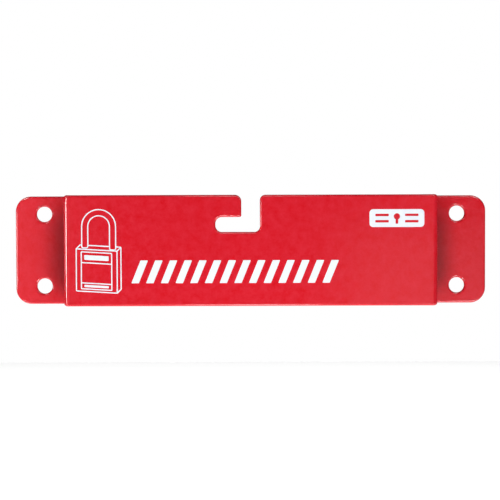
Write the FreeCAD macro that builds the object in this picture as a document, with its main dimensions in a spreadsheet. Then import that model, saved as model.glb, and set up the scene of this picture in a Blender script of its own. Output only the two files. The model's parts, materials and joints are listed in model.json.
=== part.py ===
import FreeCAD, Part
import math
import os
import re

import Sketcher

# A wall bracket folded from one strip of sheet steel in a hat section: ear, web, raised face,
# web, ear. A lockout box hangs in the L-shaped slot in the face's top edge, and four screws or
# anchors through the ears hold the bracket to a wall. White ink is printed on the face.
#
# Frame, in millimetres: +X along the strip, +Y into the wall, +Z up. The origin is the centre
# of the four fixing holes on the wall plane, and the raised face looks towards -Y.

SIZES = {
    # the folded strip
    "overall_length": 262,
    "strip_height": 60,
    "face_width": 202,
    "face_depth": 20,
    "sheet_thickness": 2,
    "bend_inner_radius": 1,
    "ear_corner_radius": 8.5,
    "rim_radius": 0.5,
    # fixing holes in the ears
    "hole_span": 230,
    "hole_rise": 40,
    "hole_diameter": 8.5,
    # hanging slot: an upright mouth with a leg to the left under a tab
    "slot_width": 10,
    "slot_depth": 20,
    "slot_reach": 19,
    "leg_height": 8,
    "mouth_left_radius": 3.5,
    "mouth_right_radius": 3,
    "slot_corner_radius": 3,
    "slot_end_radius": 3.5,
    "tab_tip_radius": 1,
    # printed ink
    "ink_thickness": 0.1,
    "line_half": 0.375,
    # pictogram of a plain padlock: its case in oblique view, and its shackle
    "case_left": -93.8,
    "case_right": -72,
    "case_top": 1.1,
    "case_bottom": -21.4,
    "case_slope": 0.06,
    "case_recess": 2.1,
    "shackle_x": -81.75,
    "shackle_z": 13.1,
    "shackle_radius": 7.4,
    "shackle_tube": 3.3,
    "left_foot": 1.75,
    "right_foot": 0.6,
    # label panel on the case, with two plain bars
    "label_left": -91.1,
    "label_right": -74.9,
    "label_top": -0.5,
    "label_bottom": -20.2,
    "label_upper_rule": -6.3,
    "label_lower_rule": -17.2,
    "label_bar_gap": 1.6,
    "upper_bar_height": 2.6,
    "lower_bar_height": 1.2,
    # striped band
    "band_left": -64.3,
    "band_right": 47.5,
    "band_top": -5.2,
    "band_bottom": -17.5,
    "stripe_width": 4,
    "stripe_lean": 5,
    "stripe_count": 14,
    # badge with a keyhole and four bars left open
    "badge_x": 78.65,
    "badge_z": 17.2,
    "badge_width": 29.5,
    "badge_height": 9.6,
    "badge_corner_radius": 2,
    "keyhole_radius": 1.7,
    "keyhole_rise": 0.9,
    "keyway_width": 1.4,
    "keyway_drop": 3,
    "badge_bar_start": 4.4,
    "badge_bar_end": 11.6,
    "badge_bar_height": 1.3,
    "badge_bar_gap": 1.7,
}

# Mitres where drawn lines of one width meet at 45 degrees, on the outer and the inner side.
SHORT_MITRE = "line_half * (sqrt(2) - 1)"
LONG_MITRE = "line_half * (sqrt(2) + 1)"

doc = FreeCAD.newDocument("WallBracket")
sheet = doc.addObject("Spreadsheet::Sheet", "Sizes")


def fill_sheet():
    for row, (alias, value) in enumerate(SIZES.items(), start=1):
        sheet.set(f"A{row}", alias)
        sheet.set(f"B{row}", str(value))
        sheet.setAlias(f"B{row}", alias)
    doc.recompute()


def cells(text):
    """An expression in aliases, with each alias pointing at the Sizes sheet."""
    return re.sub(r"[a-z]+(?:_[a-z]+)+", lambda alias: "Sizes." + alias.group(), text)


def size(text):
    """The number that an expression in aliases comes to."""
    return sheet.evalExpression(cells(text))


def bind(item, **expressions):
    for prop, text in expressions.items():
        item.setExpression(prop, cells(text))


def new_body(label, allow_separate_solids=False):
    body = doc.addObject("PartDesign::Body", label)
    body.AllowCompound = allow_separate_solids
    return body


def origin_part(body, role):
    return next(item for item in body.Origin.OriginFeatures if item.Role == role)


def new_sketch(body, name, plane="XZ_Plane"):
    sketch = body.newObject("Sketcher::SketchObject", name)
    sketch.AttachmentSupport = (origin_part(body, plane), [""])
    sketch.MapMode = "FlatFace"
    return sketch


def constrain(sketch, name, text, kind, *places):
    """Add a sketch dimension and bind it to an expression in aliases."""
    index = sketch.addConstraint(Sketcher.Constraint(kind, *places, size(text)))
    sketch.renameConstraint(index, name)
    sketch.setExpression("Constraints." + name, cells(text))


def place_point(sketch, name, geometry, end, across, up):
    """Dimension a point of a sketch from the sketch's origin."""
    constrain(sketch, name + "_across", across, "DistanceX", -1, 1, geometry, end)
    constrain(sketch, name + "_up", up, "DistanceY", -1, 1, geometry, end)


def outline(sketch, name, corners):
    """A closed outline of straight lines through corners given as pairs of expressions."""
    first = sketch.GeometryCount
    points = [FreeCAD.Vector(size(across), size(up), 0) for across, up in corners]
    count = len(points)
    for i in range(count):
        sketch.addGeometry(Part.LineSegment(points[i], points[(i + 1) % count]), False)
    for i, (across, up) in enumerate(corners):
        following = first + (i + 1) % count
        sketch.addConstraint(Sketcher.Constraint("Coincident", first + i, 2, following, 1))
        place_point(sketch, f"{name}_{i}", first + i, 1, across, up)


def rectangle(sketch, name, left, right, bottom, top):
    outline(sketch, name, [(left, bottom), (right, bottom), (right, top), (left, top)])


def circle(sketch, name, across, up, diameter):
    centre = FreeCAD.Vector(size(across), size(up), 0)
    normal = FreeCAD.Vector(0, 0, 1)
    index = sketch.addGeometry(Part.Circle(centre, normal, size(diameter) / 2), False)
    place_point(sketch, name, index, 3, across, up)
    constrain(sketch, name + "_diameter", diameter, "Diameter", index)


def pad(body, name, sketch, length, symmetric=False):
    feature = body.newObject("PartDesign::Pad", name)
    feature.Profile = sketch
    feature.SideType = "Symmetric" if symmetric else "One side"
    bind(feature, Length=length)
    doc.recompute()
    return feature


def cut_through(body, name, sketch):
    """Pocket a sketch through the whole body both ways, and check that metal went."""
    before = body.Shape.Volume
    feature = body.newObject("PartDesign::Pocket", name)
    feature.Profile = sketch
    feature.Type = "ThroughAll"
    feature.SideType = "Symmetric"
    doc.recompute()
    if body.Shape.Volume > before - 1e-3:
        raise RuntimeError(name + " cuts nothing")


def round_edges(body, name, edges, radius):
    base = body.Tip
    feature = body.newObject("PartDesign::Fillet", name)
    feature.Base = (base, edges)
    bind(feature, Radius=radius)
    doc.recompute()


def edges_at(shape, axis, places):
    """Names of the straight edges along one axis that stand at any of the given places.

    A place gives the edge's other two coordinates, in X, Y, Z order.
    """
    others = [i for i in range(3) if i != axis]
    names = []
    for number, edge in enumerate(shape.Edges, start=1):
        ends = [vertex.Point for vertex in edge.Vertexes]
        if len(ends) != 2 or not isinstance(edge.Curve, Part.Line):
            continue
        if any(abs(ends[0][i] - ends[1][i]) > 1e-4 for i in others):
            continue
        here = [ends[0][i] for i in others]
        if any(abs(here[0] - a) < 1e-3 and abs(here[1] - b) < 1e-3 for a, b in places):
            names.append(f"Edge{number}")
    return names


# --- the bracket ----------------------------------------------------------------------------


def is_skin(face):
    """True for the sheet's front and back surfaces, false where the sheet was cut."""
    surface = face.Surface
    axis = surface.Axis
    if isinstance(surface, Part.Cylinder):
        return abs(axis.z) > 0.99
    web = abs(axis.x) > 0.99 and abs(face.CenterOfMass.x) > size("face_width / 2 - 5")
    past_web = abs(face.CenterOfMass.x) > size("face_width / 2 + 5")
    return abs(axis.y) > 0.99 or (web and not past_web)


def rim_edges(shape):
    """Names of the edges between a skin of the sheet and a cut edge of the sheet."""
    skins = {}
    for face in shape.Faces:
        for edge in face.Edges:
            skins.setdefault(edge.hashCode(), []).append(is_skin(face))
    names = []
    for number, edge in enumerate(shape.Edges, start=1):
        if sorted(skins[edge.hashCode()]) == [False, True]:
            names.append(f"Edge{number}")
    return names


def fold_strip(body):
    """The hat section, padded to the strip's height, with its four bends rounded."""
    sketch = new_sketch(body, "hat_section", "XY_Plane")
    end = "overall_length / 2"
    web_outside = "face_width / 2"
    web_inside = "(face_width / 2 - sheet_thickness)"
    front = "-face_depth"
    behind = "sheet_thickness - face_depth"
    ear_front = "-sheet_thickness"
    right_half = [
        (web_outside, front),
        (web_outside, ear_front),
        (end, ear_front),
        (end, "0"),
        (web_inside, "0"),
        (web_inside, behind),
    ]
    left_half = [("-" + across, along) for across, along in reversed(right_half)]
    outline(sketch, "hat", right_half + left_half)
    strip = pad(body, "strip", sketch, "strip_height", symmetric=True)

    outside = size(web_outside)
    inside = size(web_inside)
    tight = [(s * outside, size(ear_front)) for s in (-1, 1)]
    tight += [(s * inside, size(behind)) for s in (-1, 1)]
    wide = [(s * inside, 0.0) for s in (-1, 1)]
    wide += [(s * outside, size(front)) for s in (-1, 1)]
    round_edges(body, "bends_inside", edges_at(strip.Shape, 2, tight), "bend_inner_radius")
    edges = edges_at(body.Tip.Shape, 2, wide)
    round_edges(body, "bends_outside", edges, "bend_inner_radius + sheet_thickness")


def cut_holes(body):
    sketch = new_sketch(body, "fixing_hole_centres")
    for side, across in (("left", "-hole_span / 2"), ("right", "hole_span / 2")):
        for level, up in (("low", "-hole_rise / 2"), ("high", "hole_rise / 2")):
            circle(sketch, f"{side}_{level}", across, up, "hole_diameter")
    cut_through(body, "fixing_holes", sketch)


def cut_slot(body):
    """The L-shaped slot, open at the face's top edge, with its corners rounded."""
    sketch = new_sketch(body, "slot_outline")
    left = "-slot_width / 2"
    right = "slot_width / 2"
    end = "-slot_reach"
    above = "strip_height / 2 + 5"
    top = "strip_height / 2"
    floor = "strip_height / 2 - slot_depth"
    ceiling = "strip_height / 2 - slot_depth + leg_height"
    corners = [(left, above), (left, ceiling), (end, ceiling)]
    corners += [(end, floor), (right, floor), (right, above)]
    outline(sketch, "slot", corners)
    cut_through(body, "hanging_slot", sketch)
    for name, radius, places in (
        ("mouth_left", "mouth_left_radius", [(left, top)]),
        ("mouth_right", "mouth_right_radius", [(right, top)]),
        ("tab_tip", "tab_tip_radius", [(left, ceiling)]),
        ("slot_end", "slot_end_radius", [(end, ceiling), (end, floor)]),
        ("slot_corner", "slot_corner_radius", [(right, floor)]),
    ):
        spots = [(size(across), size(up)) for across, up in places]
        round_edges(body, name, edges_at(body.Tip.Shape, 1, spots), radius)


def make_bracket():
    body = new_body("bracket")
    fold_strip(body)
    cut_holes(body)
    cut_slot(body)
    end = size("overall_length / 2")
    top = size("strip_height / 2")
    corners = [(x, z) for x in (-end, end) for z in (-top, top)]
    round_edges(body, "ear_corners", edges_at(body.Tip.Shape, 1, corners), "ear_corner_radius")
    round_edges(body, "coated_rims", rim_edges(body.Tip.Shape), "rim_radius")
    return body


# --- the printed ink ------------------------------------------------------------------------


def new_print(label, allow_separate_solids=False):
    """A body whose origin lies on the raised face, where ink pads outwards."""
    body = new_body(label, allow_separate_solids)
    body.setExpression("Placement.Base.y", cells("-face_depth"))
    return body


def u_outline(sketch, name, half_band):
    """A closed U, arch upwards, that follows the shackle at half_band each side of its line."""
    outer = f"shackle_radius + {half_band}"
    inner = f"shackle_radius - {half_band}"
    drop = f"({half_band} - shackle_tube / 2)"
    centre = FreeCAD.Vector(size("shackle_x"), size("shackle_z"), 0)
    arcs = []
    for part, radius in (("outer", outer), ("inner", inner)):
        ring = Part.Circle(centre, FreeCAD.Vector(0, 0, 1), size(radius))
        arc = sketch.addGeometry(Part.ArcOfCircle(ring, 0, math.pi), False)
        place_point(sketch, f"{name}_{part}", arc, 3, "shackle_x", "shackle_z")
        constrain(sketch, f"{name}_{part}_radius", radius, "Radius", arc)
        arcs.append(arc)
    for side, arc_end, sign, foot in (("left", 2, "-", "left_foot"), ("right", 1, "+", "right_foot")):
        level = f"{foot} - {drop}"
        outside = FreeCAD.Vector(size(f"shackle_x {sign} ({outer})"), size(level), 0)
        inside = FreeCAD.Vector(size(f"shackle_x {sign} ({inner})"), size(level), 0)
        rise = FreeCAD.Vector(0, centre.y - outside.y, 0)
        leg_out = sketch.addGeometry(Part.LineSegment(outside + rise, outside), False)
        sole = sketch.addGeometry(Part.LineSegment(outside, inside), False)
        leg_in = sketch.addGeometry(Part.LineSegment(inside, inside + rise), False)
        for kind, *places in (
            ("Tangent", arcs[0], arc_end, leg_out, 1),
            ("Coincident", leg_out, 2, sole, 1),
            ("Coincident", sole, 2, leg_in, 1),
            ("Tangent", leg_in, 2, arcs[1], arc_end),
            ("Horizontal", sole),
        ):
            sketch.addConstraint(Sketcher.Constraint(kind, *places))
        constrain(sketch, f"{name}_{side}_foot", level, "DistanceY", -1, 1, sole, 1)


def make_shackle():
    body = new_print("pictogram_shackle_print")
    sketch = new_sketch(body, "shackle_line")
    u_outline(sketch, "outside", "(shackle_tube / 2 + line_half)")
    u_outline(sketch, "inside", "(shackle_tube / 2 - line_half)")
    pad(body, "shackle_ink", sketch, "ink_thickness")
    return body


def leaning_panel(sketch, name, left, right, top, bottom):
    """A panel with upright sides whose other two sides run down to the right."""
    drop = f"case_slope * (({right}) - ({left}))"
    corners = [(left, top), (left, bottom)]
    corners += [(right, f"{bottom} - {drop}"), (right, f"{top} - {drop}")]
    outline(sketch, name, corners)


def make_case():
    """The padlock case's edges: front, side and top, with room left for the shackle's feet."""
    body = new_print("pictogram_case_print", allow_separate_solids=True)
    sketch = new_sketch(body, "case_lines")
    drop = "case_slope * (case_right - case_left)"
    right_top = f"case_top - {drop}"
    right_bottom = f"case_bottom - {drop}"
    outline(sketch, "silhouette", [
        ("case_left - line_half", "case_bottom - line_half"),
        (f"case_right + {SHORT_MITRE}", f"{right_bottom} - line_half"),
        ("case_right + case_recess + line_half", f"{right_bottom} + case_recess - {SHORT_MITRE}"),
        ("case_right + case_recess + line_half", f"{right_top} + case_recess + line_half"),
        (f"case_left + case_recess - {SHORT_MITRE}", "case_top + case_recess + line_half"),
        ("case_left - line_half", f"case_top + {SHORT_MITRE}"),
    ])
    leaning_panel(sketch, "front", "case_left + line_half", "case_right - line_half",
                  "case_top - line_half", "case_bottom + line_half")
    outline(sketch, "side", [
        ("case_right + line_half", f"{right_bottom} + {LONG_MITRE}"),
        ("case_right + case_recess - line_half", f"{right_bottom} + case_recess + {SHORT_MITRE}"),
        ("case_right + case_recess - line_half", f"{right_top} + case_recess - {LONG_MITRE}"),
        ("case_right + line_half", f"{right_top} - {SHORT_MITRE}"),
    ])
    outline(sketch, "lid", [
        (f"case_left + {LONG_MITRE}", "case_top + line_half"),
        (f"case_right - {SHORT_MITRE}", f"{right_top} + line_half"),
        (f"case_right + case_recess - {LONG_MITRE}", f"{right_top} + case_recess - line_half"),
        (f"case_left + case_recess + {SHORT_MITRE}", "case_top + case_recess - line_half"),
    ])
    pad(body, "case_ink", sketch, "ink_thickness")
    feet = new_sketch(body, "shackle_feet")
    u_outline(feet, "outside", "(shackle_tube / 2 + line_half)")
    cut_through(body, "room_for_feet", feet)
    return body


def make_label():
    """The label's frame with two rules across it, and a plain bar above and below them."""
    body = new_print("pictogram_label_print", allow_separate_solids=True)
    sketch = new_sketch(body, "label_lines")
    leaning_panel(sketch, "frame", "label_left - line_half", "label_right + line_half",
                  "label_top + line_half", "label_bottom - line_half")
    levels = ["label_top", "label_upper_rule", "label_lower_rule", "label_bottom"]
    for i in range(3):
        leaning_panel(sketch, f"window_{i}", "label_left + line_half", "label_right - line_half",
                      levels[i] + " - line_half", levels[i + 1] + " + line_half")
    for name, high, low, height in (
        ("upper_bar", levels[0], levels[1], "upper_bar_height"),
        ("lower_bar", levels[2], levels[3], "lower_bar_height"),
    ):
        middle = f"({high} + {low}) / 2 - case_slope * label_bar_gap"
        leaning_panel(sketch, name, "label_left + label_bar_gap", "label_right - label_bar_gap",
                      f"{middle} + {height} / 2", f"{middle} - {height} / 2")
    pad(body, "label_ink", sketch, "ink_thickness")
    return body


def make_stripes():
    """A band of slanting stripes: one stripe, repeated along the face."""
    body = new_print("stripe_band_print", allow_separate_solids=True)
    sketch = new_sketch(body, "first_stripe")
    outline(sketch, "stripe", [
        ("band_left", "band_bottom"),
        ("band_left + stripe_width", "band_bottom"),
        ("band_left + stripe_width + stripe_lean", "band_top"),
        ("band_left + stripe_lean", "band_top"),
    ])
    stripe = pad(body, "stripe_ink", sketch, "ink_thickness")
    row = body.newObject("PartDesign::LinearPattern", "stripe_row")
    row.Originals = [stripe]
    row.Direction = (origin_part(body, "X_Axis"), [""])
    bind(row, Length="band_right - band_left - stripe_width - stripe_lean")
    bind(row, Occurrences="stripe_count")
    body.Tip = row
    doc.recompute()
    return body


def make_badge():
    """A tile with rounded corners, cut by a keyhole and two bars on each side of it."""
    body = new_print("badge_print")
    tile = new_sketch(body, "tile_outline")
    left = "badge_x - badge_width / 2"
    right = "badge_x + badge_width / 2"
    low = "badge_z - badge_height / 2"
    high = "badge_z + badge_height / 2"
    rectangle(tile, "tile", left, right, low, high)
    ink = pad(body, "tile_ink", tile, "ink_thickness")
    spots = [(size(x), size(z)) for x in (left, right) for z in (low, high)]
    round_edges(body, "tile_corners", edges_at(ink.Shape, 1, spots), "badge_corner_radius")

    bow = new_sketch(body, "keyhole_bow")
    circle(bow, "bow", "badge_x", "badge_z + keyhole_rise", "2 * keyhole_radius")
    cut_through(body, "keyhole", bow)
    slit = new_sketch(body, "keyhole_slit")
    rectangle(slit, "slit", "badge_x - keyway_width / 2", "badge_x + keyway_width / 2",
              "badge_z - keyway_drop", "badge_z + keyhole_rise")
    cut_through(body, "keyway", slit)

    bars = new_sketch(body, "badge_bars")
    for side, near, far in (("left", "-badge_bar_end", "-badge_bar_start"),
                            ("right", "+badge_bar_start", "+badge_bar_end")):
        for level, sign in (("low", "-"), ("high", "+")):
            middle = f"badge_z {sign} badge_bar_gap"
            rectangle(bars, f"{side}_{level}", "badge_x " + near, "badge_x " + far,
                      f"{middle} - badge_bar_height / 2", f"{middle} + badge_bar_height / 2")
    cut_through(body, "badge_bar_openings", bars)
    return body


# --- checks and files -----------------------------------------------------------------------


def check_document(bodies):
    doc.recompute()
    failed = [item.Label for item in doc.Objects if {"Invalid", "Error"} & set(item.State)]
    failed += [body.Label for body in bodies if body.Shape.isNull() or not body.Shape.isValid()]
    if failed:
        raise RuntimeError("failed: " + ", ".join(failed))


def write_steps(bodies):
    os.makedirs("parts", exist_ok=True)
    for body in bodies:
        body.Shape.exportStep(f"parts/{body.Label}.step")
        box = body.Shape.BoundBox
        print(f"{body.Label}: {len(body.Shape.Solids)} solids, {body.Shape.Volume:.2f} mm3,",
              f"{box.XLength:.2f} x {box.YLength:.2f} x {box.ZLength:.2f} mm")


fill_sheet()
made = [make_bracket(), make_shackle(), make_case(), make_label(), make_stripes(), make_badge()]
check_document(made)
write_steps(made)
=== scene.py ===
import json
import math

import bmesh
import bpy
import numpy as np
from mathutils import Matrix, Vector, geometry


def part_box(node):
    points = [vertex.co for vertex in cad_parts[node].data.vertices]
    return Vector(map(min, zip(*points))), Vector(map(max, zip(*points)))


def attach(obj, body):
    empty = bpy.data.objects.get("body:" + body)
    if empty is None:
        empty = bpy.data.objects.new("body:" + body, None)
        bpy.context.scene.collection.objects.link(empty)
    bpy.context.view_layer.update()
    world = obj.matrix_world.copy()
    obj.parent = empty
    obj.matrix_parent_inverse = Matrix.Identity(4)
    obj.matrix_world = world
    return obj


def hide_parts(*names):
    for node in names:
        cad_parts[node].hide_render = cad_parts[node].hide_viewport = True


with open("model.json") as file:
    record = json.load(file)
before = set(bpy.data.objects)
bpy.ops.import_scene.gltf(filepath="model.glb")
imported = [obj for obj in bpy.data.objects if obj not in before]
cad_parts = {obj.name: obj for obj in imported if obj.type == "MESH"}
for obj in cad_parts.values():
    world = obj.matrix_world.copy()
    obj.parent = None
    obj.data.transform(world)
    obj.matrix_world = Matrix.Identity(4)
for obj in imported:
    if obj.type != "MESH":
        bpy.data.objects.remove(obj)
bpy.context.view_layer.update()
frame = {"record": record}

MM = 0.001

# A wall bracket folded from one strip of steel sheet, powder coated red and screen-printed in
# white. Shapes are worked out in millimetres: x along the strip, y into the wall, z up.


# --- sizes read from the frame ----------------------------------------------------------------

def box_mm(node):
    """The low and high corners of a node's box, in millimetres."""
    low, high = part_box(node)
    return low / MM, high / MM


MOUNTS = {mount["name"]: mount for mount in frame["record"]["mounts"]}
HOLES = MOUNTS["wall_holes"]["dims"]
BRACKET_LOW, BRACKET_HIGH = box_mm("bracket")
HALF_LENGTH = BRACKET_HIGH.x
HALF_HEIGHT = BRACKET_HIGH.z
FACE_Y = BRACKET_LOW.y
HOLE_X = HOLES["spacing_x_mm"] / 2
HOLE_Z = HOLES["spacing_y_mm"] / 2
HOLE_RADIUS = HOLES["hole_r_mm"]

# --- sizes of the sheet, its folds and its slot -----------------------------------------------

GAUGE = 2.0
HALF_GAUGE = GAUGE / 2
INNER_BEND = 1.0
MID_BEND = INNER_BEND + HALF_GAUGE
FACE_HALF = 101.0
EAR_CORNER = 8.5
# The slot drops from the top edge and turns left into a leg under a tab.
SLOT_HALF = 5.0
SLOT_DEPTH = 20.0
SLOT_FLOOR = HALF_HEIGHT - SLOT_DEPTH
SLOT_REACH = 19.0
LEG_HEIGHT = 8.0
LEG_CEILING = SLOT_FLOOR + LEG_HEIGHT
# Radii at the slot's mouth, its floor, the end of its leg and the tip of the tab.
MOUTH_LEFT = 3.5
MOUTH_RIGHT = 3.0
SLOT_CORNER = 3.0
SLOT_END = 3.5
TAB_TIP = 1.0

# Radii of the coated cut edges: softer at the front, as on a side that a punch has rolled in.
FRONT_RIM = 1.25
BACK_RIM = 0.55
# Metal squeezed out at the ends of a bend's tight side, and drawn in at its wide side.
BEND_BULGE = 0.16
BULGE_REACH = 1.8

# Distances along the middle of the sheet from the face's centre: where each fold starts and ends.
FOLD_ARC = MID_BEND * math.pi / 2
WEB = -FACE_Y - 2 * INNER_BEND - 2 * GAUGE
FIRST_FOLD = FACE_HALF - INNER_BEND - GAUGE
FIRST_FOLD_END = FIRST_FOLD + FOLD_ARC
SECOND_FOLD = FIRST_FOLD_END + WEB
SECOND_FOLD_END = SECOND_FOLD + FOLD_ARC
# How far a fold's squeeze spreads to each side of its middle.
SQUEEZE_SPREAD = 0.7 * FOLD_ARC
# How much further out a spot of an ear lies on the flat strip than on the folded one.
EAR_SHIFT = SECOND_FOLD_END - (FACE_HALF + INNER_BEND)

# How finely the strip is divided: a grid over its flats, with closer lines at edges and folds.
GRID = 7.0
EDGE_ROWS = (1.5, 2.6, 4.4)
EAR_STEPS = 5
FOLD_STEPS = 12
FOLD_SUPPORT = 0.25
RIM_STEPS = 5
RIM_SUPPORT = 0.12
HOLE_STEPS = 48
LEAST_ARC_STEPS = 3
ARC_STEPS_GAIN = 2.5
# Room left clear of grid points, beside a corner's arc and inside an edge.
CORNER_ROOM = 0.3
EDGE_ROOM = 0.6

# Limits in working out a mesh. WELD_GAP is in metres, and the two angles are in radians.
ON_AXIS = 0.999
WHOLE_HULL = 0
SAME_SPOT = 1e-5
WELD_GAP = 2e-6
FLAT_ANGLE = 0.01
SQUARE_ANGLE = 0.7


# --- flat outlines ----------------------------------------------------------------------------

def unit(vector):
    """A vector cut down to a length of one."""
    return vector / np.linalg.norm(vector)


def arc_steps(radius):
    """Pieces in a quarter turn: more where the arc is larger."""
    return round(LEAST_ARC_STEPS + ARC_STEPS_GAIN * math.sqrt(radius)) if radius > 0 else 0


def rounded_loop(corners, inset=0.0, stations=((), ())):
    """A closed outline through corners (across, up, radius), moved inset to its left side.

    Corners that turn left lose the inset from their radius, and the others gain it. Straight
    stretches along an axis also get points at the stations given for that axis.
    """
    points = [np.array(corner[:2]) for corner in corners]
    count = len(points)
    loop = []
    for i, (_, _, radius) in enumerate(corners):
        following = (i + 1) % count
        before = unit(points[i] - points[i - 1])
        after = unit(points[following] - points[i])
        sine = before[0] * after[1] - before[1] * after[0]
        left = 1 if sine > 0 else -1
        turn = math.acos(max(-1.0, min(1.0, float(before @ after))))
        normal = np.array([-before[1], before[0]])
        moved = points[i] + inset * normal - left * inset * math.tan(turn / 2) * before
        round_radius = max(radius - left * inset, 0.0)
        start = moved - before * round_radius * math.tan(turn / 2)
        centre = start + left * round_radius * normal
        steps = arc_steps(radius)
        for step in range(steps + 1):
            angle = turn * step / steps if steps else 0.0
            spoke = before * math.sin(angle) - left * normal * math.cos(angle)
            loop.append(tuple(centre + round_radius * spoke))
        axis = int(abs(after[1]) > ON_AXIS)
        if abs(after[axis]) > ON_AXIS:
            next_radius = corners[following][2]
            first = points[i][axis] + after[axis] * (radius + CORNER_ROOM)
            last = points[following][axis] - after[axis] * (next_radius + CORNER_ROOM)
            between = [s for s in stations[axis] if min(first, last) < s < max(first, last)]
            for s in sorted(between, reverse=bool(first > last)):
                loop.append((s, moved[1]) if axis == 0 else (moved[0], s))
    return loop


def circle_loop(across, up, radius):
    """A hole's circle. It runs clockwise, so that the metal lies on its left."""
    angles = [-2 * math.pi * k / HOLE_STEPS for k in range(HOLE_STEPS)]
    return [(across + radius * math.cos(a), up + radius * math.sin(a)) for a in angles]


def contains(loop, spots):
    """Which of the spots lie inside a loop, by crossings."""
    xs, ys = spots[:, 0], spots[:, 1]
    within = np.zeros(len(spots), bool)
    ends = np.roll(np.array(loop), -1, axis=0)
    for (ax, ay), (bx, by) in zip(loop, ends):
        crosses = (ay > ys) != (by > ys)
        if crosses.any():
            at = ax + (ys - ay) / (by - ay if by != ay else 1.0) * (bx - ax)
            within ^= crosses & (xs < at)
    return within


def fill_between(loops, inner_points=(), left_out=None):
    """Points and anticlockwise triangles that fill what an odd number of loops go round.

    Points inside may be given too, and a loop whose whole inside is left out.
    """
    walls = loops + ([left_out] if left_out else [])
    points = [Vector(p) for loop in walls for p in loop]
    edges = []
    first = 0
    for loop in walls:
        edges += [(first + k, first + (k + 1) % len(loop)) for k in range(len(loop))]
        first += len(loop)
    points += [Vector(p) for p in inner_points]
    made = geometry.delaunay_2d_cdt(points, edges, [], WHOLE_HULL, SAME_SPOT)
    spots = np.array([tuple(p) for p in made[0]])
    faces = np.array(made[2])
    sides = spots[faces[:, 1:]] - spots[faces[:, :1]]
    clockwise = np.cross(sides[:, 0], sides[:, 1]) < 0
    faces[clockwise] = faces[clockwise][:, ::-1]
    middles = spots[faces].mean(axis=1)
    kept = np.zeros(len(faces), bool)
    for loop in loops:
        kept ^= contains(loop, middles)
    if left_out:
        kept &= ~contains(left_out, middles)
    return spots, faces[kept]


# --- the folded strip -------------------------------------------------------------------------

def folded(along, up, out):
    """Where a spot of the flat strip goes: along and up it, and out from its middle."""
    reach = np.abs(along)
    first = np.clip((reach - FIRST_FOLD) / MID_BEND, 0, math.pi / 2)
    second = np.clip((reach - SECOND_FOLD) / MID_BEND, 0, math.pi / 2)
    web = np.clip(reach - FIRST_FOLD_END, 0, WEB)
    x = np.minimum(reach, FIRST_FOLD) + MID_BEND * np.sin(first)
    x += MID_BEND * (1 - np.cos(second)) + np.maximum(reach - SECOND_FOLD_END, 0)
    y = FACE_Y + HALF_GAUGE + MID_BEND * (1 - np.cos(first)) + web + MID_BEND * np.sin(second)
    heading = first - second
    x += out * np.sin(heading)
    y -= out * np.cos(heading)
    return np.stack([np.copysign(x, along), y, up + bulge(reach, up, out)], axis=1)


def bulge(reach, up, out):
    """How far a fold pushes the strip's edge out on its tight side, and in on its wide side."""
    from_edge = HALF_HEIGHT - np.abs(up)
    fade = np.exp(-from_edge / BULGE_REACH) * np.sign(up) * BEND_BULGE
    squeeze = 0.0
    for start, tight_side in ((FIRST_FOLD, -1), (SECOND_FOLD, 1)):
        off = (reach - start - FOLD_ARC / 2) / SQUEEZE_SPREAD
        squeeze = squeeze + tight_side * out / HALF_GAUGE * np.exp(-off ** 2)
    return fade * squeeze


def blank_corners():
    """The flat strip's outline, anticlockwise, with the slot let into its top edge."""
    end = HALF_LENGTH + EAR_SHIFT
    top = HALF_HEIGHT
    return [
        (-end, -top, EAR_CORNER),
        (end, -top, EAR_CORNER),
        (end, top, EAR_CORNER),
        (SLOT_HALF, top, MOUTH_RIGHT),
        (SLOT_HALF, SLOT_FLOOR, SLOT_CORNER),
        (-SLOT_REACH, SLOT_FLOOR, SLOT_END),
        (-SLOT_REACH, LEG_CEILING, SLOT_END),
        (-SLOT_HALF, LEG_CEILING, TAB_TIP),
        (-SLOT_HALF, top, MOUTH_LEFT),
        (-end, top, EAR_CORNER),
    ]


def grid_stations():
    """Where the strip is divided along its length and its height."""
    columns = [GRID * k for k in range(int(FIRST_FOLD // GRID) + 1)]
    for start in (FIRST_FOLD, SECOND_FOLD):
        columns += [start + FOLD_ARC * k / FOLD_STEPS for k in range(FOLD_STEPS + 1)]
        columns += [start - FOLD_SUPPORT, start + FOLD_ARC + FOLD_SUPPORT]
    columns += [FIRST_FOLD_END + WEB / 2]
    ear = HALF_LENGTH + EAR_SHIFT - SECOND_FOLD_END
    columns += [SECOND_FOLD_END + ear * k / EAR_STEPS for k in range(1, EAR_STEPS)]
    rows = [HALF_HEIGHT - gap for gap in EDGE_ROWS]
    rows += [GRID * k for k in range(int((HALF_HEIGHT - EDGE_ROWS[-1]) // GRID) + 1)]
    return tuple(sorted({sign * s for s in stations for sign in (-1, 1)})
                 for stations in (columns, rows))


def blank_loops(inset, stations):
    """The strip's outline and its fixing holes, with the metal taken back by inset."""
    loops = [rounded_loop(blank_corners(), inset, stations)]
    for x in (-HOLE_X - EAR_SHIFT, HOLE_X + EAR_SHIFT):
        for z in (-HOLE_Z, HOLE_Z):
            loops.append(circle_loop(x, z, HOLE_RADIUS + inset))
    return loops


def rim_profile():
    """Across a cut edge from front to back, as (inset, out from the middle of the sheet)."""
    quarter = [math.pi / 2 * k / RIM_STEPS for k in range(RIM_STEPS + 1)]
    front = [(FRONT_RIM * (1 - math.sin(a)), HALF_GAUGE - FRONT_RIM * (1 - math.cos(a)))
             for a in quarter]
    back = [(BACK_RIM * (1 - math.sin(a)), BACK_RIM * (1 - math.cos(a)) - HALF_GAUGE)
            for a in quarter]
    support_front = (FRONT_RIM + RIM_SUPPORT, HALF_GAUGE)
    support_back = (BACK_RIM + RIM_SUPPORT, -HALF_GAUGE)
    return [support_front, *front, *reversed(back), support_back]


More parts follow.
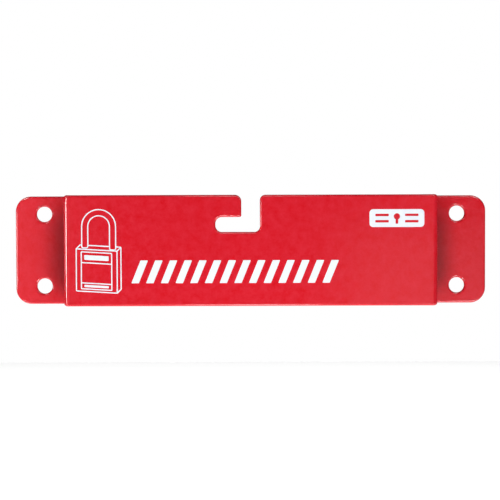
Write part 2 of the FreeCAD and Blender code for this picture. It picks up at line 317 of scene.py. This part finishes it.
def skin(inset, stations):
    """One flat side of the strip as points and triangles, with its grid."""
    loops = blank_loops(inset, stations)
    grid = np.array([(x, z) for x in stations[0] for z in stations[1]])
    clear = blank_loops(inset + EDGE_ROOM, stations)
    inside = contains(clear[0], grid)
    for hole in clear[1:]:
        inside &= ~contains(hole, grid)
    return fill_between(loops, grid[inside])


def bracket_piece():
    """The strip with its two skins and the rounded rims between them, folded to shape."""
    stations = grid_stations()
    profile = rim_profile()
    flat = []
    faces = []
    for (inset, out), reverse in ((profile[0], False), (profile[-1], True)):
        spots, triangles = skin(inset, stations)
        first = sum(len(part) for part in flat)
        flat.append(np.column_stack([spots, np.full(len(spots), out)]))
        order = triangles[:, ::-1] if reverse else triangles
        faces += (order + first).tolist()
    rings = [blank_loops(inset, stations) for inset, _ in profile]
    for number in range(len(rings[0])):
        first = sum(len(part) for part in flat)
        size = len(rings[0][number])
        for ring, (_, out) in zip(rings, profile):
            spots = np.array(ring[number])
            flat.append(np.column_stack([spots, np.full(size, out)]))
        for level in range(len(profile) - 1):
            a = first + level * size
            for k in range(size):
                n = (k + 1) % size
                faces.append((a + n, a + k, a + size + k, a + size + n))
    along, up, out = np.vstack(flat).T
    mesh = bpy.data.meshes.new("bracket_shell")
    mesh.from_pydata((folded(along, up, out) * MM).tolist(), [], faces)
    welded = bmesh.new()
    welded.from_mesh(mesh)
    bmesh.ops.remove_doubles(welded, verts=welded.verts, dist=WELD_GAP)
    triangles = [face for face in welded.faces if len(face.verts) == 3]
    bmesh.ops.join_triangles(welded, faces=triangles, angle_face_threshold=FLAT_ANGLE,
                             angle_shape_threshold=SQUARE_ANGLE)
    welded.to_mesh(mesh)
    welded.free()
    mesh.shade_smooth()
    piece = bpy.data.objects.new("bracket_shell", mesh)
    bpy.context.collection.objects.link(piece)
    return piece


# --- printed ink ------------------------------------------------------------------------------

# Half the width of a drawn line, and how far the pictogram's lines fall over each millimetre.
LINE_HALF = 0.3
LINE_SLOPE = 0.06
# The drawn padlock: how deep its case looks, and how much higher its shackle's left foot is.
CASE_RECESS = 2.1
CASE_CORNER = 0.5
SHACKLE_TUBE = 3.3
SHACKLE_TOE = 0.9
FEET_STEP = 1.15
# Its label: how far its two rules lie from its top, and the plain bars above and below them.
LABEL_RULES = (-5.8, -16.7)
LABEL_CORNER = 0.3
WINDOW_CORNER = 0.2
LABEL_BAR_GAP = 1.6
LABEL_BAR_CORNER = 0.4
UPPER_BAR = 2.6
LOWER_BAR = 1.2
# The badge's keyhole and bars, measured from the badge's middle.
BADGE_CORNER = 2.0
KEYHOLE_RADIUS = 1.7
KEYHOLE_RISE = 0.9
KEYWAY_HALF = 0.7
KEYWAY_DROP = 3.0
BOW_STEPS = 36
BADGE_BAR_NEAR = 4.4
BADGE_BAR_FAR = 11.6
BADGE_BAR_RISE = 1.7
BADGE_BAR_HEIGHT = 1.3
BADGE_BAR_CORNER = 0.3
# The striped band, whose stripes are spread over its length. STRIPE_WELD_GAP is in metres.
STRIPES = 14
STRIPE_WIDTH = 4.0
STRIPE_LEAN = 5.0
STRIPE_CORNER = 0.3
STRIPE_CORNER_STEPS = 4
STRIPE_WELD_GAP = 1e-6


def ink_piece(name, loops, left_out=None):
    """A closed film of ink on the raised face, filled between loops."""
    spots, triangles = fill_between(loops, left_out=left_out)
    used, places = np.unique(triangles, return_inverse=True)
    spots, triangles = spots[used], places.reshape(-1, 3)
    count = len(spots)
    ink_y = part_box("badge_print")[0].y / MM
    layers = [np.column_stack([spots[:, 0], np.full(count, y), spots[:, 1]])
              for y in (ink_y, FACE_Y)]
    faces = triangles.tolist() + (triangles[:, ::-1] + count).tolist()
    sides = [(t[k], t[(k + 1) % 3]) for t in triangles.tolist() for k in range(3)]
    inner = {(b, a) for a, b in sides}
    faces += [(b, a, a + count, b + count) for a, b in sides if (a, b) not in inner]
    mesh = bpy.data.meshes.new(name)
    mesh.from_pydata((np.vstack(layers) * MM).tolist(), [], faces)
    piece = bpy.data.objects.new(name, mesh)
    bpy.context.collection.objects.link(piece)
    return piece


def panel(left, right, top, bottom, radius=0.0):
    """A panel with upright sides whose other two sides run down to the right."""
    drop = LINE_SLOPE * (right - left)
    return [(left, bottom, radius), (right, bottom - drop, radius),
            (right, top - drop, radius), (left, top, radius)]


def shackle_corners():
    """The shackle's outline: an arch whose left foot stands higher than its right one."""
    low, high = box_mm("pictogram_shackle_print")
    centre = (low.x + high.x) / 2
    outer = (high.x - low.x) / 2 - LINE_HALF
    inner = outer - SHACKLE_TUBE
    middle = high.z - LINE_HALF - outer
    right_foot = low.z + LINE_HALF
    left_foot = right_foot + FEET_STEP
    return [
        (centre - outer, left_foot, SHACKLE_TOE),
        (centre - inner, left_foot, SHACKLE_TOE),
        (centre - inner, middle + inner, inner),
        (centre + inner, middle + inner, inner),
        (centre + inner, right_foot, SHACKLE_TOE),
        (centre + outer, right_foot, SHACKLE_TOE),
        (centre + outer, middle + outer, outer),
        (centre - outer, middle + outer, outer),
    ]


def shackle_print():
    """A line of ink round the shackle's outline."""
    corners = shackle_corners()
    loops = [rounded_loop(corners, -LINE_HALF), rounded_loop(corners, LINE_HALF)]
    return ink_piece("shackle_ink", loops)


def case_print():
    """The padlock case's edges: front, side and top, with room left for the shackle's feet."""
    low, high = box_mm("pictogram_case_print")
    left = low.x + LINE_HALF
    right = high.x - LINE_HALF - CASE_RECESS
    top = high.z - LINE_HALF - CASE_RECESS
    drop = LINE_SLOPE * (right - left)
    bottom = low.z + LINE_HALF + drop
    back = right + CASE_RECESS
    front = panel(left, right, top, bottom)
    side = [(right, bottom - drop, 0), (back, bottom - drop + CASE_RECESS, 0),
            (back, top - drop + CASE_RECESS, 0), (right, top - drop, 0)]
    lid = [(left, top, 0), (right, top - drop, 0), (back, top - drop + CASE_RECESS, 0),
           (left + CASE_RECESS, top + CASE_RECESS, 0)]
    edge = [front[0], front[1], side[1], side[2], lid[3], lid[0]]
    silhouette = [(x, z, CASE_CORNER) for x, z, _ in edge]
    loops = [rounded_loop(silhouette, -LINE_HALF)]
    loops += [rounded_loop(window, LINE_HALF) for window in (front, side, lid)]
    feet = rounded_loop(shackle_corners(), -LINE_HALF)
    return ink_piece("case_ink", loops, left_out=feet)


def label_print():
    """The label's frame with two rules across it, and a plain bar above and below them."""
    low, high = box_mm("pictogram_label_print")
    left, right = low.x + LINE_HALF, high.x - LINE_HALF
    top = high.z - LINE_HALF
    bottom = low.z + LINE_HALF + LINE_SLOPE * (right - left)
    levels = [top, top + LABEL_RULES[0], top + LABEL_RULES[1], bottom]
    loops = [rounded_loop(panel(left, right, top, bottom, LABEL_CORNER), -LINE_HALF)]
    for upper, lower in zip(levels, levels[1:]):
        window = panel(left, right, upper, lower, WINDOW_CORNER)
        loops.append(rounded_loop(window, LINE_HALF))
    for upper, lower, height in ((levels[0], levels[1], UPPER_BAR),
                                 (levels[2], levels[3], LOWER_BAR)):
        middle = (upper + lower) / 2 - LINE_SLOPE * LABEL_BAR_GAP
        bar = panel(left + LABEL_BAR_GAP, right - LABEL_BAR_GAP,
                    middle + height / 2, middle - height / 2, LABEL_BAR_CORNER)
        loops.append(rounded_loop(bar))
    return ink_piece("label_ink", loops)


def box_corners(left, right, bottom, top, radius):
    """An upright rectangle with four equal corners."""
    return [(left, bottom, radius), (right, bottom, radius),
            (right, top, radius), (left, top, radius)]


def keyhole_loop(x, z):
    """A round bow over an upright slit, in one outline."""
    centre = z + KEYHOLE_RISE
    neck = math.asin(KEYWAY_HALF / KEYHOLE_RADIUS)
    start, sweep = -math.pi / 2 + neck, 2 * (math.pi - neck)
    angles = [start + sweep * k / BOW_STEPS for k in range(BOW_STEPS + 1)]
    bow = [(x + KEYHOLE_RADIUS * math.cos(a), centre + KEYHOLE_RADIUS * math.sin(a))
           for a in angles]
    return bow + [(x - KEYWAY_HALF, z - KEYWAY_DROP), (x + KEYWAY_HALF, z - KEYWAY_DROP)]


def badge_print():
    """A tile with rounded corners, open at a keyhole and at two bars on each side of it."""
    low, high = box_mm("badge_print")
    x, z = (low.x + high.x) / 2, (low.z + high.z) / 2
    loops = [rounded_loop(box_corners(low.x, high.x, low.z, high.z, BADGE_CORNER))]
    loops.append(keyhole_loop(x, z))
    for left in (x - BADGE_BAR_FAR, x + BADGE_BAR_NEAR):
        right = left + BADGE_BAR_FAR - BADGE_BAR_NEAR
        for middle in (z - BADGE_BAR_RISE, z + BADGE_BAR_RISE):
            bottom = middle - BADGE_BAR_HEIGHT / 2
            top = middle + BADGE_BAR_HEIGHT / 2
            loops.append(rounded_loop(box_corners(left, right, bottom, top, BADGE_BAR_CORNER)))
    return ink_piece("badge_ink", loops)


# --- node trees -------------------------------------------------------------------------------

def add_node(tree, kind, inputs=None, **settings):
    """Add a node with its settings. An input given as a socket is linked, any other is set."""
    node = tree.nodes.new(kind)
    for name, value in settings.items():
        setattr(node, name, value)
    for key, value in (inputs or {}).items():
        if isinstance(value, bpy.types.NodeSocket):
            tree.links.new(value, node.inputs[key])
        else:
            node.inputs[key].default_value = value
    return node


def stripe_tree():
    """Geometry nodes: one slanting stripe of ink, repeated along a line."""
    tree = bpy.data.node_groups.new("stripe_row", "GeometryNodeTree")
    sockets = tree.interface
    for name, kind in (("Count", "NodeSocketInt"), ("Pitch", "NodeSocketVector"),
                       ("Start", "NodeSocketVector"), ("Width", "NodeSocketFloat"),
                       ("Lean", "NodeSocketFloat"), ("Height", "NodeSocketFloat"),
                       ("Corner", "NodeSocketFloat"), ("Film", "NodeSocketFloat"),
                       ("Ink", "NodeSocketMaterial")):
        sockets.new_socket(name, in_out="INPUT", socket_type=kind)
    sockets.new_socket("Geometry", in_out="OUTPUT", socket_type="NodeSocketGeometry")
    given = tree.nodes.new("NodeGroupInput").outputs
    outline = add_node(tree, "GeometryNodeCurvePrimitiveQuadrilateral",
                       {"Width": given["Width"], "Height": given["Height"],
                        "Offset": given["Lean"]}, mode="PARALLELOGRAM")
    rounded = add_node(tree, "GeometryNodeFilletCurve",
                       {"Curve": outline.outputs[0], "Radius": given["Corner"],
                        "Count": STRIPE_CORNER_STEPS}, mode="POLY")
    sheet = add_node(tree, "GeometryNodeFillCurve", {"Curve": rounded.outputs[0]}, mode="NGONS")
    raised = add_node(tree, "GeometryNodeExtrudeMesh",
                      {"Mesh": sheet.outputs[0], "Offset Scale": given["Film"],
                       "Individual": False}, mode="FACES")
    under = add_node(tree, "GeometryNodeFlipFaces", {"Mesh": sheet.outputs[0]})
    both = add_node(tree, "GeometryNodeJoinGeometry", {"Geometry": raised.outputs[0]})
    tree.links.new(under.outputs[0], both.inputs[0])
    closed = add_node(tree, "GeometryNodeMergeByDistance",
                      {"Geometry": both.outputs[0], "Distance": STRIPE_WELD_GAP})
    upright = add_node(tree, "GeometryNodeTransform",
                       {"Geometry": closed.outputs[0], "Rotation": (math.pi / 2, 0, 0)})
    line = add_node(tree, "GeometryNodeMeshLine",
                    {"Count": given["Count"], "Start Location": given["Start"],
                     "Offset": given["Pitch"]}, mode="OFFSET")
    row = add_node(tree, "GeometryNodeInstanceOnPoints",
                   {"Points": line.outputs[0], "Instance": upright.outputs[0]})
    solid = add_node(tree, "GeometryNodeRealizeInstances", {"Geometry": row.outputs[0]})
    inked = add_node(tree, "GeometryNodeSetMaterial",
                     {"Geometry": solid.outputs[0], "Material": given["Ink"]})
    add_node(tree, "NodeGroupOutput", {"Geometry": inked.outputs[0]})
    return tree


def stripes_print(ink):
    """The striped band, made by the stripe tree and turned into a plain mesh."""
    low, high = box_mm("stripe_band_print")
    middle = (low + high) / 2
    reach = (high.x - low.x - STRIPE_WIDTH - STRIPE_LEAN) / 2
    sizes = {
        "Count": STRIPES,
        "Pitch": (2 * reach / (STRIPES - 1) * MM, 0, 0),
        "Start": ((middle.x - reach) * MM, high.y * MM, middle.z * MM),
        "Width": STRIPE_WIDTH * MM,
        "Lean": STRIPE_LEAN * MM,
        "Height": (high.z - low.z) * MM,
        "Corner": STRIPE_CORNER * MM,
        "Film": (high.y - low.y) * MM,
        "Ink": ink,
    }
    tree = stripe_tree()
    maker = bpy.data.objects.new("stripe_maker", bpy.data.meshes.new("stripe_maker"))
    bpy.context.collection.objects.link(maker)
    modifier = maker.modifiers.new("row", "NODES")
    modifier.node_group = tree
    for item in tree.interface.items_tree:
        if item.in_out == "INPUT":
            modifier[item.identifier] = sizes[item.name]
    view = bpy.context.evaluated_depsgraph_get()
    mesh = bpy.data.meshes.new_from_object(maker.evaluated_get(view))
    bpy.data.objects.remove(maker)
    mesh.name = "stripe_band_ink"
    piece = bpy.data.objects.new("stripe_band_ink", mesh)
    bpy.context.collection.objects.link(piece)
    return piece


# --- materials --------------------------------------------------------------------------------

# Widths and heights of the marks in the coat and the ink.
FLECK_WIDTH = 5.0
PEEL_WIDTH = 3.0
PEEL_HEIGHT = 0.06
GRAIN_WIDTH = 1.1
GRAIN_HEIGHT = 0.03
FILM_MARK_WIDTH = 1.5
FILM_RIPPLE_WIDTH = 3.0
FILM_RIPPLE_HEIGHT = 0.05
# The Mix node's colour sockets, which share their names with others of its sockets.
COLOUR_A = 6
COLOUR_B = 7
MIXED_COLOUR = 2
# Painted shade in an inside fold, standing in for the web's shadow on the ear: how dark it turns,
# how far it reaches, how far up and down from the middle it is at its darkest, and how much of
# that is left at the fold's ends.
PAINTED_SHADE_DARKNESS = 0.68
PAINTED_SHADE_REACH = 16.0
DARKEST_SHADE_HALF = 12.0
SHADE_LEFT_AT_ENDS = 0.2


def linear(colour):
    """A hex sRGB colour as linear red, green, blue and alpha."""
    parts = [int(colour[k:k + 2], 16) / 255 for k in (1, 3, 5)]
    bent = [c / 12.92 if c <= 0.04045 else ((c + 0.055) / 1.055) ** 2.4 for c in parts]
    return (*bent, 1.0)


def new_material(name):
    """A material with its node tree and its shader."""
    material = bpy.data.materials.new(name)
    material.use_nodes = True
    tree = material.node_tree
    return material, tree, tree.nodes["Principled BSDF"]


def object_place(tree):
    """Where a spot is on its piece, in metres."""
    return add_node(tree, "ShaderNodeTexCoord").outputs["Object"]


def ripple(tree, place, size_mm, height_mm, under=None):
    """A surface with ripples about size_mm across and height_mm high, over those under it."""
    noise = add_node(tree, "ShaderNodeTexNoise",
                     {"Vector": place, "Scale": 1 / (size_mm * MM), "Detail": 1.5,
                      "Roughness": 0.4})
    bump = add_node(tree, "ShaderNodeBump",
                    {"Height": noise.outputs[0], "Strength": 1.0, "Distance": height_mm * MM})
    if under:
        tree.links.new(under, bump.inputs["Normal"])
    return bump.outputs[0]


def painted_fold_shade(tree, place):
    """How much painted shade the coat gets: 1 in the inside fold beside each ear, and 0 where
    there is none.

    It stands in for the shadow each web casts on its ear. Only the front of each ear and the
    outside of each web are shaded. The painted shade fades towards both ends of the fold.
    """
    apart = add_node(tree, "ShaderNodeVectorMath", {0: place}, operation="ABSOLUTE")
    spot = add_node(tree, "ShaderNodeSeparateXYZ", {"Vector": apart.outputs[0]})
    section = add_node(tree, "ShaderNodeCombineXYZ",
                       {"X": spot.outputs["X"], "Y": spot.outputs["Y"]})
    away = add_node(tree, "ShaderNodeVectorMath",
                    {0: section.outputs[0], 1: (FACE_HALF * MM, GAUGE * MM, 0.0)},
                    operation="DISTANCE")
    in_front = add_node(tree, "ShaderNodeMath",
                        {0: spot.outputs["Y"], 1: HALF_GAUGE * MM}, operation="GREATER_THAN")
    outside = add_node(tree, "ShaderNodeMath",
                       {0: spot.outputs["X"], 1: (FACE_HALF - HALF_GAUGE) * MM},
                       operation="GREATER_THAN")
    shaded_side = add_node(tree, "ShaderNodeMath",
                         {0: in_front.outputs[0], 1: outside.outputs[0]},
                         operation="MULTIPLY")
    ends = add_node(tree, "ShaderNodeMapRange",
                    {"Value": spot.outputs["Z"], "From Min": DARKEST_SHADE_HALF * MM,
                     "From Max": HALF_HEIGHT * MM, "To Min": 1.0,
                     "To Max": SHADE_LEFT_AT_ENDS},
                    interpolation_type="SMOOTHSTEP")
    deepest = add_node(tree, "ShaderNodeMath",
                       {0: shaded_side.outputs[0], 1: ends.outputs[0]}, operation="MULTIPLY")
    return add_node(tree, "ShaderNodeMapRange",
                    {"Value": away.outputs["Value"], "From Min": 0.0,
                     "From Max": PAINTED_SHADE_REACH * MM,
                     "To Min": deepest.outputs[0], "To Max": 0.0},
                    interpolation_type="SMOOTHSTEP").outputs[0]


def powder_coat():
    """Gloss polyester powder coat, signal red, baked on steel.

    It flows out glossy but keeps an orange peel, which breaks up reflections. The peel and the
    fine grain on it are drawn deeper than real, so that they show from half a metre away. The
    red is flecked a little paler in places, also more than a real coat is. Along the inside folds
    beside the ears the red is darkened with painted shade, which stands in for the shadow the
    webs cast on the ears. How dark it is there and how far out that reaches were set by their
    looks.
    """
    material, tree, shader = new_material("red_powder_coat")
    place = object_place(tree)
    fleck = add_node(tree, "ShaderNodeTexNoise",
                     {"Vector": place, "Scale": 1 / (FLECK_WIDTH * MM), "Detail": 4.0,
                      "Roughness": 0.8})
    spread = add_node(tree, "ShaderNodeMapRange",
                      {"Value": fleck.outputs[0], "From Min": 0.3, "From Max": 0.7})
    red = add_node(tree, "ShaderNodeMix",
                   {"Factor": spread.outputs[0], COLOUR_A: linear("#d21420"),
                    COLOUR_B: linear("#d92a39")}, data_type="RGBA")
    # Painted shade: in the inside folds beside the ears the red is mixed towards a dark red,
    # where the webs would cast their shadow.
    painted_shade = add_node(tree, "ShaderNodeMath",
                        {0: painted_fold_shade(tree, place), 1: PAINTED_SHADE_DARKNESS},
                        operation="MULTIPLY")
    colour = add_node(tree, "ShaderNodeMix",
                      {"Factor": painted_shade.outputs[0], COLOUR_A: red.outputs[MIXED_COLOUR],
                       COLOUR_B: linear("#7a0d15")}, data_type="RGBA")
    haze = add_node(tree, "ShaderNodeMapRange",
                    {"Value": spread.outputs[0], "To Min": 0.12, "To Max": 0.18})
    peel = ripple(tree, place, PEEL_WIDTH, PEEL_HEIGHT)
    grain = ripple(tree, place, GRAIN_WIDTH, GRAIN_HEIGHT, peel)
    tree.links.new(colour.outputs[MIXED_COLOUR], shader.inputs["Base Color"])
    tree.links.new(haze.outputs[0], shader.inputs["Roughness"])
    tree.links.new(grain, shader.inputs["Normal"])
    shader.inputs["IOR"].default_value = 1.6
    return material


def screen_ink():
    """Screen-printed two-part ink, white with a cold cast, satin.

    The screen's mesh leaves the film a little uneven, so it is greyer in places and its gloss
    wavers. Both are drawn coarser than real, so that they show.
    """
    material, tree, shader = new_material("white_screen_ink")
    place = object_place(tree)
    film = add_node(tree, "ShaderNodeTexNoise",
                    {"Vector": place, "Scale": 1 / (FILM_MARK_WIDTH * MM), "Detail": 2.0})
    colour = add_node(tree, "ShaderNodeMix",
                      {"Factor": film.outputs[0], COLOUR_A: linear("#f3f7fe"),
                       COLOUR_B: linear("#e8edf8")}, data_type="RGBA")
    tree.links.new(colour.outputs[MIXED_COLOUR], shader.inputs["Base Color"])
    surface = ripple(tree, place, FILM_RIPPLE_WIDTH, FILM_RIPPLE_HEIGHT)
    tree.links.new(surface, shader.inputs["Normal"])
    shader.inputs["Roughness"].default_value = 0.42
    shader.inputs["IOR"].default_value = 1.5
    return material


def pale_floor():
    """White studio paper, uncoated and matt, so that it gives no glare."""
    material, _, shader = new_material("pale_paper")
    shader.inputs["Base Color"].default_value = linear("#f4f4f4")
    shader.inputs["Roughness"].default_value = 0.9
    return material


# --- studio -----------------------------------------------------------------------------------

# Lengths here are in metres.
FLOOR_LEVEL = -0.5
FLOOR_HALF = 3.0
MIDDLE = (0.0, 0.0, 0.0)
LEFT_EAR = (-0.11, 0.0, 0.0)
RIGHT_EAR = (0.11, 0.0, 0.0)
# Each soft box: its name, place, width, height, power in watts, and the spot it points at.
SOFT_BOXES = (
    ("under_lens_box", (0.0, -0.17, -0.2), 0.1, 0.08, 0.28, MIDDLE),
    ("over_lens_box", (0.0, -0.17, 0.2), 0.1, 0.08, 0.11, MIDDLE),
    ("low_right_box", (0.3, -0.4, -0.36), 0.18, 0.16, 1.1, MIDDLE),
    ("high_right_box", (0.3, -0.4, 0.4), 0.18, 0.16, 0.62, MIDDLE),
    ("left_strip", (-0.82, -0.36, -0.01), 0.2, 0.16, 2.6, MIDDLE),
    ("left_ear_top_box", (-0.2, -0.1, 0.13), 0.05, 0.05, 0.09, LEFT_EAR),
    ("left_ear_low_box", (-0.2, -0.1, -0.13), 0.05, 0.05, 0.05, LEFT_EAR),
    ("right_ear_top_box", (0.2, -0.1, 0.13), 0.05, 0.05, 0.06, RIGHT_EAR),
    ("right_panel", (0.52, -1.35, -0.2), 0.7, 0.45, 0.45, MIDDLE),
    ("left_panel", (-0.62, -1.35, -0.02), 0.5, 0.5, 0.32, MIDDLE),
    ("paper_wash", (0.0, 1.59, -0.2), 3.4, 3.42, 42.0, (0.0, 1.59, -1.0)),
    ("front_wash", (0.0, -1.6, -0.2), 3.4, 2.9, 10.0, (0.0, -1.6, -1.0)),
)
# The room's glow, and the heights at which its ceiling starts and is brightest: 1 is overhead.
WALL_GLOW = 0.005
CEILING_GLOW = 0.28
CEILING_START = 0.6
CEILING_FULL = 0.95


def lay_floor():
    """A square of white paper half a metre below the bracket."""
    sides = [(-FLOOR_HALF, -FLOOR_HALF), (FLOOR_HALF, -FLOOR_HALF),
             (FLOOR_HALF, FLOOR_HALF), (-FLOOR_HALF, FLOOR_HALF)]
    mesh = bpy.data.meshes.new("floor")
    mesh.from_pydata([(x, y, FLOOR_LEVEL) for x, y in sides], [], [(0, 1, 2, 3)])
    mesh.materials.append(pale_floor())
    floor = bpy.data.objects.new("floor", mesh)
    bpy.context.collection.objects.link(floor)


def soft_box(name, place, width, height, power, aim):
    """A soft box that points at a spot and that the camera doesn't see."""
    light = bpy.data.lights.new(name, "AREA")
    light.shape = "RECTANGLE"
    light.size = width
    light.size_y = height
    light.energy = power
    box = bpy.data.objects.new(name, light)
    box.location = place
    box.rotation_euler = (Vector(aim) - Vector(place)).to_track_quat("-Z", "Y").to_euler()
    box.visible_camera = False
    bpy.context.collection.objects.link(box)


def light_studio():
    """Small boxes close in front and at the right, which leave the ears dark beside the face.

    The left strip draws the thin bright line down the left fold, and the ear boxes lift the outer
    ends of the ears. The two dim panels far behind the lens show as soft patches in the gloss at
    the ends of the face. The paper below is lit from just above it: under and behind the bracket,
    where the rounded lower edges reflect it, and less in front, where it mostly shows in a view
    from behind.
    """
    for box in SOFT_BOXES:
        soft_box(*box)
    light_room()


def light_room():
    """A dim room with a pale ceiling. The camera itself sees plain white round the bracket."""
    world = bpy.data.worlds.new("room")
    bpy.context.scene.world = world
    world.use_nodes = True
    tree = world.node_tree
    tree.nodes.clear()
    way = tree.nodes.new("ShaderNodeTexCoord").outputs["Generated"]
    height = add_node(tree, "ShaderNodeSeparateXYZ", {"Vector": way}).outputs["Z"]
    ceiling = add_node(tree, "ShaderNodeMapRange",
                       {"Value": height, "From Min": CEILING_START,
                        "From Max": CEILING_FULL, "To Min": WALL_GLOW,
                        "To Max": CEILING_GLOW},
                       interpolation_type="SMOOTHSTEP")
    room = add_node(tree, "ShaderNodeBackground", {"Strength": ceiling.outputs[0]})
    white = add_node(tree, "ShaderNodeBackground", {"Color": linear("#ffffff")})
    seen = tree.nodes.new("ShaderNodeLightPath").outputs["Is Camera Ray"]
    mixed = add_node(tree, "ShaderNodeMixShader",
                     {0: seen, 1: room.outputs[0], 2: white.outputs[0]})
    add_node(tree, "ShaderNodeOutputWorld", {"Surface": mixed.outputs[0]})


def set_camera():
    """A camera square on to the face from half a metre, a touch above and tipped down."""
    camera = bpy.data.cameras.new("camera")
    camera.sensor_width = 36.0
    camera.lens = 66.54
    camera.clip_start = 0.01
    stand = bpy.data.objects.new("camera", camera)
    stand.location = (-0.6 * MM, -517.1 * MM, 12.2 * MM)
    yaw, pitch, roll = -0.026, -1.376, -0.169
    turn = Matrix.Rotation(math.radians(yaw), 3, "Z")
    turn = turn @ Matrix.Rotation(math.radians(90 + pitch), 3, "X")
    stand.rotation_euler = (turn @ Matrix.Rotation(math.radians(roll), 3, "Z")).to_euler()
    bpy.context.collection.objects.link(stand)
    bpy.context.scene.camera = stand


# --- the object -------------------------------------------------------------------------------

def build():
    """Every piece, in its finish and in the place of its plain solid."""
    coat = powder_coat()
    ink = screen_ink()
    pieces = (
        (bracket_piece(), "bracket", "red_powder_coat", coat),
        (shackle_print(), "pictogram_shackle_print", "white_ink", ink),
        (case_print(), "pictogram_case_print", "white_ink", ink),
        (label_print(), "pictogram_label_print", "white_ink", ink),
        (stripes_print(ink), "stripe_band_print", "white_ink", ink),
        (badge_print(), "badge_print", "white_ink", ink),
    )
    for piece, node, slot, material in pieces:
        piece.data.materials.clear()
        piece.data.materials.append(material)
        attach(piece, "root")
        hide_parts(node)


build()
lay_floor()
light_studio()
set_camera()
bpy.context.scene.view_settings.view_transform = "Standard"
